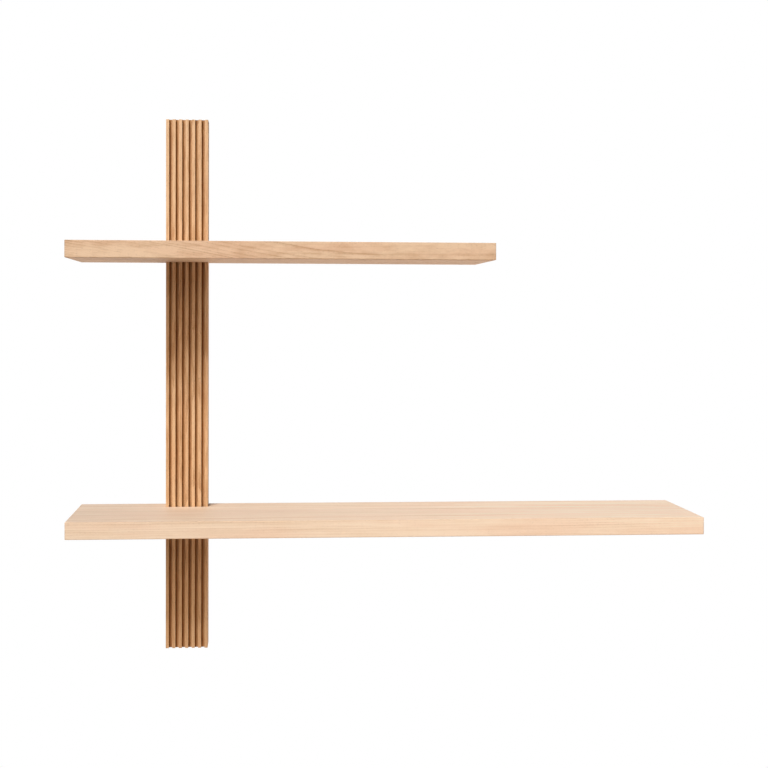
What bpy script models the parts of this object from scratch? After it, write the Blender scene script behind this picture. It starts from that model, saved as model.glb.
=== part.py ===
"""Wall shelf: a ribbed oak upright, two notched oak boards and the hidden steel that carries them.

Metres, +Z up, +X to the right as one faces the shelf, the wall behind it at y = 0.
The origin is the centre of the upright's back face.
"""
import math

import bmesh
import bpy
from mathutils import Vector

# Boards
board_thickness = 0.025
board_depth = 0.200
upper_board_length = 0.6185
lower_board_length = 0.930
left_overhang = 0.133
clear_height = 0.377
board_edge_ease = 0.0008

# Upright
rib_count = 7
rib_width = 0.0049
groove_width = 0.0050
groove_depth = 0.006
upright_thickness = 0.040
upright_overrun = 0.1937
upright_edge_ease = 0.0004

# Gaps and cuts shared by every joint
fit_gap = 0.0003
plate_inset = 0.0005
cut_overrun = 0.004

# Bracket that carries each board: a steel plate with two rods
bracket_width = 0.046
bracket_height = 0.080
bracket_thickness = 0.004
bracket_corner_radius = 0.006
bracket_screw_inset = 0.008
rod_radius = 0.006
rod_length = 0.150
rod_spacing = 0.026
rod_end_chamfer = 0.001

# Keyhole hanger that hooks on a screw in the wall
hanger_width = 0.050
hanger_thickness = 0.002
hanger_corner_radius = 0.004
hanger_side_land = 0.0035
hanger_screw_inset = 0.007
keyhole_edge_land = 0.0025
keyhole_entry_radius = 0.00475
keyhole_slot_radius = 0.0025
wall_screw_head_room = 0.007
upright_hanger_inset = 0.0357
board_hanger_inset = 0.060

# Countersunk wood screws
bracket_screw_head_radius = 0.004
bracket_screw_shank_radius = 0.002
bracket_screw_length = 0.030
hanger_screw_head_radius = 0.0035
hanger_screw_shank_radius = 0.00175
hanger_screw_length = 0.016
screw_rim_share = 0.08
screw_point_share = 0.2
drive_length_share = 1.2
drive_width_share = 0.3
drive_depth_share = 0.9

# Sizes that follow from the ones above
upright_width = rib_count * rib_width + (rib_count - 1) * groove_width
upright_height = clear_height + 2 * board_thickness + 2 * upright_overrun
board_level = (clear_height + board_thickness) / 2
boards_left = -upright_width / 2 - left_overhang
hanger_height = board_thickness - 2 * hanger_side_land
keyhole_entry_height = -hanger_height / 2 + keyhole_edge_land + keyhole_entry_radius
keyhole_slot_height = hanger_height / 2 - keyhole_edge_land - keyhole_slot_radius

# Smoothness of round shapes, in facets
round_facets = 32
screw_facets = 16
quarter_facets = 5
board_ease_facets = 2

quarter_turn = math.pi / 2
sharp_angle = math.radians(35)
flat_angle = math.radians(1)
weld_distance = 0.000001


def clear_scene():
    """Remove every object of the open scene."""
    for item in list(bpy.data.objects):
        bpy.data.objects.remove(item, do_unlink=True)


def new_collection(name):
    """Add a collection to the scene and return it."""
    collection = bpy.data.collections.new(name)
    bpy.context.scene.collection.children.link(collection)
    return collection


# Materials

def linear(red, green, blue):
    """Turn a colour written as 0 to 255 screen values into linear light."""
    shares = (red / 255, green / 255, blue / 255)
    return [share / 12.92 if share <= 0.04045 else ((share + 0.055) / 1.055) ** 2.4 for share in shares]


def principled(name, colour, roughness, metallic):
    """Return a material with one colour, roughness and metallic value."""
    material = bpy.data.materials.new(name)
    material.use_nodes = True
    shader = material.node_tree.nodes["Principled BSDF"]
    shader.inputs["Base Color"].default_value = (*linear(*colour), 1.0)
    shader.inputs["Roughness"].default_value = roughness
    shader.inputs["Metallic"].default_value = metallic
    material.diffuse_color = (*linear(*colour), 1.0)
    return material


def upright_oak():
    """Warm, slightly redder oak of the upright, oiled matt."""
    return principled("upright_oak", (219, 171, 130), 0.62, 0.0)


def upper_board_oak():
    """Honey oak of the upper board, oiled matt."""
    return principled("upper_board_oak", (226, 189, 155), 0.60, 0.0)


def lower_board_oak():
    """Paler oak of the lower board, oiled matt."""
    return principled("lower_board_oak", (240, 209, 181), 0.60, 0.0)


def zinc_plate():
    """Zinc plated sheet steel of the plates."""
    return principled("zinc_plate", (190, 193, 196), 0.38, 1.0)


def rod_steel():
    """Bright drawn steel of the rods."""
    return principled("rod_steel", (176, 178, 181), 0.30, 1.0)


def screw_steel():
    """Yellow passivated steel of the wood screws."""
    return principled("screw_steel", (201, 178, 122), 0.35, 1.0)


# Shapes

def add_object(name, mesh, collection, parent=None, place=(0, 0, 0), turn=(0, 0, 0)):
    """Add an object with a mesh at a place under its parent."""
    item = bpy.data.objects.new(name, mesh)
    item.location = place
    item.rotation_euler = turn
    item.parent = parent
    collection.objects.link(item)
    return item


def add_empty(name, collection, parent=None, place=(0, 0, 0)):
    """Add an empty that carries a sub-assembly."""
    empty = add_object(name, None, collection, parent, place)
    empty.empty_display_size = board_thickness
    return empty


def block_mesh(name, size):
    """Return a box centred on its origin, from a unit cube."""
    shape = bmesh.new()
    bmesh.ops.create_cube(shape, size=1)
    bmesh.ops.scale(shape, vec=size, verts=shape.verts)
    mesh = bpy.data.meshes.new(name)
    shape.to_mesh(mesh)
    shape.free()
    return mesh


def closed_mesh(item):
    """Return the evaluated mesh of an object, its caps welded and its flats joined, and remove the object."""
    bpy.context.view_layer.update()
    evaluated = item.evaluated_get(bpy.context.evaluated_depsgraph_get())
    mesh = bpy.data.meshes.new_from_object(evaluated)
    shape = bmesh.new()
    shape.from_mesh(mesh)
    bmesh.ops.remove_doubles(shape, verts=shape.verts, dist=weld_distance)
    bmesh.ops.dissolve_limit(shape, angle_limit=flat_angle, verts=shape.verts, edges=shape.edges)
    bmesh.ops.recalc_face_normals(shape, faces=shape.faces)
    shape.to_mesh(mesh)
    shape.free()
    bpy.data.objects.remove(item, do_unlink=True)
    return mesh


def outline_mesh(name, loops, thickness):
    """Return a flat shape: the first loop is its outline in X and Y, the others are holes in it."""
    curve = bpy.data.curves.new(name, "CURVE")
    curve.dimensions = "2D"
    curve.fill_mode = "BOTH"
    curve.extrude = thickness / 2
    for loop in loops:
        spline = curve.splines.new("POLY")
        spline.points.add(len(loop) - 1)
        for point, (across, along) in zip(spline.points, loop):
            point.co = (across, along, 0, 1)
        spline.use_cyclic_u = True
    item = add_object(name, curve, bpy.context.scene.collection)
    return closed_mesh(item)


def turned_mesh(name, profile, facets):
    """Return a shape turned about Z from a profile that runs down its outer side."""
    shape = bmesh.new()
    corners = [shape.verts.new((radius, 0, height)) for radius, height in profile]
    for upper, lower in zip(corners, corners[1:]):
        shape.edges.new((upper, lower))
    mesh = bpy.data.meshes.new(name)
    shape.to_mesh(mesh)
    shape.free()
    item = add_object(name, mesh, bpy.context.scene.collection)
    screw = item.modifiers.new("turn", "SCREW")
    screw.steps = facets
    screw.render_steps = facets
    screw.use_merge_vertices = True
    screw.merge_threshold = weld_distance
    return closed_mesh(item)


def shade_round(mesh):
    """Shade the round sides of a mesh smooth and keep its arrises sharp."""
    mesh.shade_smooth()
    mesh.set_sharp_from_angle(angle=sharp_angle)


def arc(centre, radius, start, end, facets):
    """Return points on an arc about a centre, angles in radians."""
    steps = [start + (end - start) * step / facets for step in range(facets + 1)]
    return [(centre[0] + radius * math.cos(angle), centre[1] + radius * math.sin(angle)) for angle in steps]


def rounded_rectangle(width, height, radius):
    """Return the outline of a rectangle with round corners."""
    right = width / 2 - radius
    top = height / 2 - radius
    corners = [(right, top), (-right, top), (-right, -top), (right, -top)]
    outline = []
    for turn, corner in enumerate(corners):
        outline += arc(corner, radius, turn * quarter_turn, (turn + 1) * quarter_turn, quarter_facets)
    return outline


def keyhole():
    """Return the outline of the keyhole: a round entry with a narrower slot above it."""
    half_mouth = math.asin(keyhole_slot_radius / keyhole_entry_radius)
    start = quarter_turn - half_mouth
    end = half_mouth - 3 * quarter_turn
    entry = arc((0, keyhole_entry_height), keyhole_entry_radius, start, end, 4 * quarter_facets)
    slot = arc((0, keyhole_slot_height), keyhole_slot_radius, 2 * quarter_turn, 0, 2 * quarter_facets)
    return entry + slot


def head_pocket():
    """Return the outline that the wall screw's head sweeps behind the keyhole."""
    upper = arc((0, keyhole_slot_height), keyhole_entry_radius, 0, 2 * quarter_turn, 2 * quarter_facets)
    lower = arc((0, keyhole_entry_height), keyhole_entry_radius, 2 * quarter_turn, 4 * quarter_turn,
                2 * quarter_facets)
    return upper + lower


def upright_outline():
    """Return the upright's plan: flat back at y = 0, square ribs and grooves at the front."""
    half_width = upright_width / 2
    front = -upright_thickness
    floor = front + groove_depth
    outline = [(half_width, 0), (-half_width, 0)]
    for rib in range(rib_count):
        left = rib * (rib_width + groove_width) - half_width
        right = left + rib_width
        if rib > 0:
            outline.append((left, floor))
        outline += [(left, front), (right, front)]
        if rib < rib_count - 1:
            outline.append((right, floor))
    return outline


def eased_outline(loop, ease):
    """Return a counterclockwise outline with a small flat across each outer corner, and square inner ones."""
    corners = [Vector(point) for point in loop]
    eased = []
    for before, corner, after in zip(corners[-1:] + corners[:-1], corners, corners[1:] + corners[:1]):
        arriving = (corner - before).normalized()
        leaving = (after - corner).normalized()
        if arriving.cross(leaving) > 0:
            eased += [corner - arriving * ease, corner + leaving * ease]
        else:
            eased.append(corner)
    return eased


def screw_profile(head_radius, shank_radius, length):
    """Return a countersunk screw's profile from the face of its head down to its point."""
    rim = head_radius * screw_rim_share
    neck = rim + head_radius - shank_radius
    point = length * screw_point_share
    return [(0, 0), (head_radius, 0), (head_radius, -rim), (shank_radius, -neck),
            (shank_radius, point - length), (0, -length)]


def screw_hole_profile(head_radius, shank_radius, length):
    """Return the profile of the cut that clears a countersunk screw all round."""
    body = screw_profile(head_radius, shank_radius, length)
    top = [(0, cut_overrun), (head_radius + fit_gap, cut_overrun)]
    sides = [(radius + fit_gap, height) for radius, height in body[2:4]]
    bottom = [(shank_radius + fit_gap, -length - fit_gap), (0, -length - fit_gap)]
    return top + sides + bottom


def screw_mesh(name, head_radius, shank_radius, length):
    """Return a countersunk wood screw with a cross recess, its head's face at the origin."""
    body_mesh = turned_mesh(name, screw_profile(head_radius, shank_radius, length), screw_facets)
    body = add_object(name, body_mesh, bpy.context.scene.collection)
    drive_size = (head_radius * drive_length_share, head_radius * drive_width_share,
                  2 * (head_radius - shank_radius) * drive_depth_share)
    arms = []
    for arm in range(2):
        cutter = add_object(f"{name}_drive_{arm}", block_mesh(name, drive_size), bpy.context.scene.collection,
                            turn=(0, 0, arm * quarter_turn + quarter_turn / 2))
        cut(body, cutter)
        arms.append(cutter)
    mesh = closed_mesh(body)
    for cutter in arms:
        bpy.data.objects.remove(cutter, do_unlink=True)
    shade_round(mesh)
    return mesh


def rod_mesh():
    """Return a bracket rod with chamfered ends, its wall end at the origin."""
    inner = rod_radius - rod_end_chamfer
    profile = [(0, 0), (inner, 0), (rod_radius, -rod_end_chamfer),
               (rod_radius, rod_end_chamfer - rod_length), (inner, -rod_length), (0, -rod_length)]
    mesh = turned_mesh("bracket_rod", profile, round_facets)
    shade_round(mesh)
    return mesh


def rod_bore_mesh():
    """Return the bore that clears a rod through the plate, the upright and into the board."""
    radius = rod_radius + fit_gap
    bottom = -rod_length - fit_gap
    return turned_mesh("rod_bore", [(0, cut_overrun), (radius, cut_overrun), (radius, bottom), (0, bottom)],
                       round_facets)


def cut(item, cutter):
    """Cut one object out of another."""
    boolean = item.modifiers.new(f"cut_{cutter.name}", "BOOLEAN")
    boolean.operation = "DIFFERENCE"
    boolean.solver = "EXACT"
    boolean.object = cutter


def use_manifold_cuts(item):
    """Make an object's cuts with MANIFOLD, where EXACT leaves open edges among corners that lie in one line."""
    for modifier in item.modifiers:
        if modifier.type == "BOOLEAN":
            modifier.solver = "MANIFOLD"


def ease_edges(item, width, facets):
    """Break the sharp arrises of an object."""
    bevel = item.modifiers.new("eased_edges", "BEVEL")
    bevel.width = width
    bevel.segments = facets
    bevel.limit_method = "ANGLE"
    bevel.angle_limit = sharp_angle


class Workshop:
    """The two collections, the materials and the meshes that repeated pieces share."""

    def __init__(self):
        """Set up the collections, the finishes and the shared meshes."""
        self.parts = new_collection("wall_shelf")
        self.cutters = new_collection("wall_shelf_cutters")
        self.plate_finish = zinc_plate()
        self.rod_finish = rod_steel()
        self.screw_finish = screw_steel()
        bracket_screw = (bracket_screw_head_radius, bracket_screw_shank_radius, bracket_screw_length)
        hanger_screw = (hanger_screw_head_radius, hanger_screw_shank_radius, hanger_screw_length)
        self.bracket_screw = screw_mesh("bracket_screw", *bracket_screw)
        self.hanger_screw = screw_mesh("hanger_screw", *hanger_screw)
        self.bracket_screw_hole = turned_mesh("bracket_screw_hole", screw_hole_profile(*bracket_screw),
                                              screw_facets)
        self.hanger_screw_hole = turned_mesh("hanger_screw_hole", screw_hole_profile(*hanger_screw),
                                             screw_facets)
        self.rod = rod_mesh()
        self.rod_bore = rod_bore_mesh()

    def part(self, name, mesh, finish, parent, place=(0, 0, 0), turn=(0, 0, 0)):
        """Add one piece of the shelf with its finish."""
        item = add_object(name, mesh, self.parts, parent, place, turn)
        if finish.name not in mesh.materials:
            mesh.materials.append(finish)
        return item

    def cutter(self, name, mesh, parent, place=(0, 0, 0), turn=(0, 0, 0)):
        """Add one cutter, shown as wire and left out of renders."""
        item = add_object(name, mesh, self.cutters, parent, place, turn)
        item.hide_render = True
        item.display_type = "WIRE"
        return item


def steel_plate(shop, name, loops, thickness, parent):
    """Add a plate that lies just inside the wall plane, its face towards the wall."""
    mesh = outline_mesh(name, loops, thickness)
    return shop.part(name, mesh, shop.plate_finish, parent, (0, -plate_inset - thickness / 2, 0),
                     (quarter_turn, 0, 0))


def milled_recess(shop, name, outline, depth, parent):
    """Add a cutter that mills an outline from behind the wall plane down to a depth."""
    mesh = outline_mesh(name, [outline], depth + cut_overrun)
    return shop.cutter(name, mesh, parent, (0, (cut_overrun - depth) / 2, 0), (quarter_turn, 0, 0))


def add_screw(shop, name, screw, hole, parent, across, up, cut_pieces):
    """Add a screw driven in from the wall side, and clear it through the pieces that it holds."""
    place = (across, -plate_inset, up)
    turn = (-quarter_turn, 0, 0)
    shop.part(name, screw, shop.screw_finish, parent, place, turn)
    cutter = shop.cutter(f"{name}_hole", hole, parent, place, turn)
    for piece in cut_pieces:
        cut(piece, cutter)


def add_upright(shop, origin):
    """Add the upright: one oak post with square ribs milled along its front."""
    plan = eased_outline(upright_outline(), upright_edge_ease)
    mesh = outline_mesh("ribbed_upright", [plan], upright_height)
    return shop.part("ribbed_upright", mesh, upright_oak(), origin)


def add_board(shop, name, length, finish, level):
    """Add a board, its left end past the upright, notched at the back to fit round it."""
    mesh = block_mesh(name, (length, board_depth, board_thickness))
    board = shop.part(name, mesh, finish, level, (boards_left + length / 2, -board_depth / 2, 0))
    ease_edges(board, board_edge_ease, board_ease_facets)
    notch_depth = upright_thickness + fit_gap
    notch_size = (upright_width + 2 * fit_gap, notch_depth + cut_overrun, board_thickness + 2 * cut_overrun)
    notch = shop.cutter(f"{name}_notch", block_mesh(f"{name}_notch", notch_size), level,
                        (0, (cut_overrun - notch_depth) / 2, 0))
    cut(board, notch)
    return board


def add_bracket(shop, name, upright, board, level):
    """Add the plate let into the upright's back, its screws, and the rods that carry the board."""
    outline = rounded_rectangle(bracket_width, bracket_height, bracket_corner_radius)
    plate = steel_plate(shop, f"{name}_plate", [outline], bracket_thickness, level)
    around = rounded_rectangle(bracket_width + 2 * fit_gap, bracket_height + 2 * fit_gap,
                               bracket_corner_radius + fit_gap)
    recess_depth = plate_inset + bracket_thickness + fit_gap
    cut(upright, milled_recess(shop, f"{name}_recess", around, recess_depth, level))
    for side, sign in (("left", -1), ("right", 1)):
        place = (sign * rod_spacing / 2, -plate_inset, 0)
        turn = (-quarter_turn, 0, 0)
        shop.part(f"{name}_rod_{side}", shop.rod, shop.rod_finish, level, place, turn)
        bore = shop.cutter(f"{name}_bore_{side}", shop.rod_bore, level, place, turn)
        for piece in (plate, upright, board):
            cut(piece, bore)
        for end, up_sign in (("top", 1), ("bottom", -1)):
            across = sign * (bracket_width / 2 - bracket_screw_inset)
            up = up_sign * (bracket_height / 2 - bracket_screw_inset)
            add_screw(shop, f"{name}_screw_{end}_{side}", shop.bracket_screw, shop.bracket_screw_hole,
                      level, across, up, (plate, upright))


def add_hanger(shop, name, carrier, parent, place):
    """Add a keyhole hanger let into the back of the piece that it carries, with its two screws."""
    seat = add_empty(f"{name}_seat", shop.parts, parent, place)
    outline = rounded_rectangle(hanger_width, hanger_height, hanger_corner_radius)
    plate = steel_plate(shop, name, [outline, keyhole()], hanger_thickness, seat)
    around = rounded_rectangle(hanger_width + 2 * fit_gap, hanger_height + 2 * fit_gap,
                               hanger_corner_radius + fit_gap)
    recess_depth = plate_inset + hanger_thickness + fit_gap
    pocket_depth = recess_depth + wall_screw_head_room
    cut(carrier, milled_recess(shop, f"{name}_recess", around, recess_depth, seat))
    cut(carrier, milled_recess(shop, f"{name}_pocket", head_pocket(), pocket_depth, seat))
    for side, sign in (("left", -1), ("right", 1)):
        across = sign * (hanger_width / 2 - hanger_screw_inset)
        add_screw(shop, f"{name}_screw_{side}", shop.hanger_screw, shop.hanger_screw_hole,
                  seat, across, 0, (plate, carrier))


def build_shelf():
    """Build the whole shelf about the centre of the upright's back face."""
    clear_scene()
    shop = Workshop()
    origin = add_empty("wall_shelf_origin", shop.parts)
    upright = add_upright(shop, origin)
    boards = (("upper", upper_board_length, upper_board_oak(), board_level),
              ("lower", lower_board_length, lower_board_oak(), -board_level))
    for name, length, finish, height in boards:
        level = add_empty(f"{name}_level", shop.parts, origin, (0, 0, height))
        board = add_board(shop, f"{name}_board", length, finish, level)
        add_bracket(shop, f"{name}_bracket", upright, board, level)
        hanger_place = (boards_left + length - board_hanger_inset, 0, 0)
        add_hanger(shop, f"{name}_board_hanger", board, level, hanger_place)
    reach = upright_height / 2 - upright_hanger_inset
    for name, height in (("top_hanger", reach), ("bottom_hanger", -reach)):
        add_hanger(shop, name, upright, origin, (0, 0, height))
    use_manifold_cuts(upright)
    bpy.context.view_layer.update()


build_shelf()
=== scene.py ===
"""The looks of a wall shelf in oak: a ribbed upright, two notched boards and their steel fixings.

Metres, +Z up, +X to the right as one faces the shelf, the wall behind it at y = 0.
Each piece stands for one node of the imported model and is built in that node's place.
"""

import logging
import math
from collections.abc import Callable, Iterable, Mapping, Sequence
from dataclasses import dataclass, field
from enum import Enum
from typing import Any

import bmesh
import bpy
from mathutils import Matrix, Vector


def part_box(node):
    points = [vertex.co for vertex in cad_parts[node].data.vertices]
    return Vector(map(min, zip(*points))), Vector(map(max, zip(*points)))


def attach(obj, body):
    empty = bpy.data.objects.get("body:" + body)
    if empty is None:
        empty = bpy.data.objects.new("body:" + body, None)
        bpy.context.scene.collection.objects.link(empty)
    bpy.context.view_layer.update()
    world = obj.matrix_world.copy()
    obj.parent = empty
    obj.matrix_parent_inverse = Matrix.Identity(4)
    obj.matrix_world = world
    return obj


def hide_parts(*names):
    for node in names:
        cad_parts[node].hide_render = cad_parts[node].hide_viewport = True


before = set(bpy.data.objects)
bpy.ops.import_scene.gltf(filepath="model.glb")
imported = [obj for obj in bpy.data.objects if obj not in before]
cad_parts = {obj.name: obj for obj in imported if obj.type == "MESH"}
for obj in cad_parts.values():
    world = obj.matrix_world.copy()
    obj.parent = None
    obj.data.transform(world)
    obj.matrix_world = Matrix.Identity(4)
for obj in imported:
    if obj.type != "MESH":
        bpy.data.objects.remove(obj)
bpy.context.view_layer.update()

LOG = logging.getLogger("wall_shelf")
BODY = "root"
PHOTO_SIDE = 768
QUARTER_TURN = math.pi / 2
HALF_TURN = math.pi
FULL_TURN = 2 * math.pi
SHARP_ANGLE = math.radians(35)
BEVEL_ANGLE = math.radians(40)
BUILT_WELD = 0.000001
CUT_WELD = 0.000002
WHITE = (255, 255, 255)

Colour = tuple[float, float, float]
Triple = tuple[float, float, float]
Span = tuple[float, float]
Box = tuple[Vector, Vector]
Plan = list[Vector]


# Shader maths

def linear(colour: Colour) -> tuple[float, float, float, float]:
    """Turn a colour written as 0 to 255 screen values into linear light, by the sRGB curve.

    Args:
        colour: Red, green and blue, each from 0 to 255.

    Returns:
        Linear red, green, blue and a full alpha.
    """
    red, green, blue = (part / 12.92 if part <= 0.04045 else ((part + 0.055) / 1.055) ** 2.4
                        for part in (level / 255 for level in colour))
    return red, green, blue, 1.0


def two_terms(operation: str, reflected: bool = False) -> Callable[["Signal", Any], "Signal"]:
    """Make a method that puts a signal and another term through an operation.

    Args:
        operation: The Math node's operation.
        reflected: Whether the other term comes first, as in 1 - mask.

    Returns:
        The method.
    """
    def method(signal: "Signal", other: Any) -> "Signal":
        """Return the result as a signal."""
        return signal.maths(operation, *((other, signal) if reflected else (signal, other)))
    return method


class Signal:
    """A shader socket that takes part in Python expressions."""

    def __init__(self, graph: "ShaderGraph", socket: bpy.types.NodeSocket) -> None:
        """Wrap one output socket of a graph."""
        self.graph = graph
        self.socket = socket

    def maths(self, operation: str, *terms: Any) -> "Signal":
        """Add a Math node, or a Vector Math node where a term is a vector.

        Args:
            operation: The node's operation.
            terms: Numbers, vectors or signals, in the order of the node's sockets.

        Returns:
            The node's result.
        """
        vector = any(isinstance(term, Signal) and term.socket.type == "VECTOR" for term in terms)
        kind = "ShaderNodeVectorMath" if vector else "ShaderNodeMath"
        inputs = {place: (term,) * 3 if vector and isinstance(term, (int, float)) else term
                  for place, term in enumerate(terms)}
        return self.graph.signal(kind, {"operation": operation}, inputs)

    __add__, __radd__ = two_terms("ADD"), two_terms("ADD", reflected=True)
    __sub__, __rsub__ = two_terms("SUBTRACT"), two_terms("SUBTRACT", reflected=True)
    __mul__, __rmul__ = two_terms("MULTIPLY"), two_terms("MULTIPLY", reflected=True)
    __truediv__, __rtruediv__ = two_terms("DIVIDE"), two_terms("DIVIDE", reflected=True)
    __pow__, __rpow__ = two_terms("POWER"), two_terms("POWER", reflected=True)
    larger = two_terms("MAXIMUM")

    def __abs__(self) -> "Signal":
        """Return the distance from zero."""
        return self.maths("ABSOLUTE", self)

    def root(self) -> "Signal":
        """Return the square root."""
        return self.maths("SQRT", self)

    def fraction(self) -> "Signal":
        """Return what is left after the whole number."""
        return self.maths("FRACT", self)

    def floor(self) -> "Signal":
        """Return the whole number below."""
        return self.maths("FLOOR", self)

    def clamped(self) -> "Signal":
        """Return this kept between 0 and 1."""
        return self.maths("MINIMUM", self.larger(0.0), 1.0)

    def ramp(self, low: float, high: float, start: float = 0.0, end: float = 1.0) -> "Signal":
        """Rise smoothly from one value to another.

        Args:
            low: Where the rise begins.
            high: Where it ends.
            start: The value up to low.
            end: The value from high on.

        Returns:
            The eased value.
        """
        return self.graph.signal("ShaderNodeMapRange", {"interpolation_type": "SMOOTHSTEP"},
                                 {0: self, 1: low, 2: high, 3: start, 4: end})

    def fade(self, low: float, high: float, end: float = 0.0) -> "Signal":
        """Fall smoothly from 1 at low to an end value at high."""
        return self.ramp(low, high, 1.0, end)


class ShaderGraph:
    """A node tree, with one method that adds any node."""

    def __init__(self, tree: bpy.types.NodeTree) -> None:
        """Start from an empty tree."""
        self.tree = tree
        self.tree.nodes.clear()

    def node(self, kind: str, settings: Mapping[str, Any] | None = None,
             inputs: Mapping[str | int, Any] | None = None) -> bpy.types.Node:
        """Add one node.

        Args:
            kind: The node's type.
            settings: Its properties.
            inputs: Values or signals of its sockets.

        Returns:
            The node.
        """
        made = self.tree.nodes.new(kind)
        for name, value in (settings or {}).items():
            setattr(made, name, value)
        for place, value in (inputs or {}).items():
            if isinstance(value, Signal):
                self.tree.links.new(value.socket, made.inputs[place])
            else:
                made.inputs[place].default_value = value
        return made

    def signal(self, kind: str, settings: Mapping[str, Any] | None = None,
               inputs: Mapping[str | int, Any] | None = None, output: str | int = 0) -> Signal:
        """Add one node and return one of its outputs.

        Args:
            kind: The node's type.
            settings: Its properties.
            inputs: Values or signals of its sockets.
            output: The output's name or place.

        Returns:
            The output as a signal.
        """
        return Signal(self, self.node(kind, settings, inputs).outputs[output])

    def place(self) -> Signal:
        """Return the place on the piece, in metres."""
        return self.signal("ShaderNodeTexCoord", output="Object")

    def join(self, x: Any, y: Any, z: Any) -> Signal:
        """Return a vector of three numbers or signals."""
        return self.signal("ShaderNodeCombineXYZ", None, {0: x, 1: y, 2: z})

    def split(self, vector: Signal) -> list[Signal]:
        """Return the three parts of a vector."""
        made = self.node("ShaderNodeSeparateXYZ", None, {0: vector})
        return [Signal(self, output) for output in made.outputs]

    def noise(self, vector: Signal, layers: float, strength: float = 0.5) -> Signal:
        """Return cloudy noise from 0 to 1.

        Args:
            vector: The place in the noise, already scaled.
            layers: How many finer layers it holds.
            strength: How strong those layers are.

        Returns:
            The noise.
        """
        return self.signal("ShaderNodeTexNoise", None, {"Vector": vector, "Scale": 1.0,
                                                        "Detail": layers, "Roughness": strength})

    def chance(self, number: Signal) -> Signal:
        """Return a random number that is the same for the same input."""
        return self.signal("ShaderNodeTexWhiteNoise", {"noise_dimensions": "1D"}, {"W": number})

    def blend(self, share: Any, first: Any, second: Any, mode: str = "MIX") -> Signal:
        """Mix two colours.

        Args:
            share: How much of the second is used.
            first: A linear colour or a signal.
            second: A linear colour or a signal.
            mode: The way of mixing.

        Returns:
            The mixed colour.
        """
        return self.signal("ShaderNodeMix", {"data_type": "RGBA", "blend_type": mode},
                           {0: share, 6: first, 7: second}, 2)

    def stain(self, share: Any, colour: Signal, tint: Colour) -> Signal:
        """Return a colour with a share of a tint laid over it like oil."""
        return self.blend(share, colour, linear(tint), "MULTIPLY")

    def bump(self, height: Signal, depth: float) -> Signal:
        """Return a normal that follows a height, where a height of 1 is so many metres deep."""
        return self.signal("ShaderNodeBump", None, {"Distance": depth, "Height": height})

    def surface(self, inputs: Mapping[str, Any]) -> None:
        """Close the tree with a Principled shader that has these values or signals."""
        shader = self.signal("ShaderNodeBsdfPrincipled", None, inputs)
        self.node("ShaderNodeOutputMaterial", None, {"Surface": shader})


def new_material(name: str) -> tuple[bpy.types.Material, ShaderGraph]:
    """Start a material.

    Args:
        name: Its name.

    Returns:
        The material and its empty graph.
    """
    material = bpy.data.materials.new(name)
    material.use_nodes = True
    return material, ShaderGraph(material.node_tree)


# Finishes

class Grain(Enum):
    """The way that the fibres of a timber run."""

    ALONG_X = "along the boards"
    ALONG_Z = "up the post"


@dataclass(frozen=True)
class Waves:
    """Noise that is drawn out along the grain, in waves for each metre.

    It has a number of finer layers and their strength, and a shift sets it apart from the others.
    """

    along: float
    across: float
    layers: float
    strength: float
    shift: float = 0.0


@dataclass(frozen=True)
class RibShading:
    """Painted light on milled ribs: painted shade in the grooves and above the lower board, and
    painted highlights on the arrises.
    """

    rib_width: float
    groove_width: float
    groove_depth: float
    half_width: float
    front: float
    # Painted shade in the grooves, lighter on the lit side of each, none on the post's sides or in
    # the beds
    side_fade: Span = (0.0002, 0.0008)
    wall_fade: Span = (-0.0006, -0.0002)
    shade_colour: Colour = (184, 148, 82)
    shade_rise: Span = (0.0003, 0.0026)
    bed_fade: Span = (0.0003, 0.001)
    lit_side_span: Span = (0.40, 0.60)
    lit_side_share: float = 0.45
    # Painted highlight on the rib arrises
    highlight_tone: float = 0.16
    highlight_reach: float = 0.0008
    highlight_depth: Span = (0.0002, 0.0009)
    # Painted shade on the ribs just above the lower board
    junction_shade: Colour = (170, 150, 122)
    junction_shade_share: float = 0.15
    junction_shade_reach: float = 0.075
    junction_shade_edge: float = 0.001
    foot: float = -0.1885

    def junction_shaded(self, z: Signal) -> Signal:
        """Return how much painted shade covers the ribs just above the lower board."""
        above = (z - self.foot).ramp(-self.junction_shade_edge, 0.0)
        return z.ramp(self.foot, self.foot + self.junction_shade_reach, self.junction_shade_share, 0.0) * above

    def masks(self, x: Signal, y: Signal) -> tuple[Signal, Signal]:
        """Tell where the grooves get painted shade and where the arrises get a painted highlight.

        Args:
            x: The distance across the ribs.
            y: The distance from the wall plane.

        Returns:
            Two masks from 0 to 1.
        """
        pitch = self.rib_width + self.groove_width
        share = ((x + (self.half_width + self.groove_width / 2)) / pitch).fraction()
        beside = abs(share - 0.5) * pitch - self.rib_width / 2
        depth = y - self.front
        bed = (self.groove_depth + reach for reach in self.bed_fade)
        within = (self.half_width - abs(x)).ramp(*self.side_fade) * beside.ramp(*self.wall_fade)
        # Painted shade in the grooves: full on the side that lies in shadow, thinner on the lit
        # side
        groove_shade = depth.ramp(*self.shade_rise) * depth.fade(*bed)
        groove_shade = groove_shade * (share + 0.5).fraction().fade(*self.lit_side_span, self.lit_side_share)
        # Painted highlight along the rib arrises
        arris_highlight = abs(beside).fade(0.0, self.highlight_reach) * depth.fade(*self.highlight_depth)
        return groove_shade * within, arris_highlight


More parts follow.
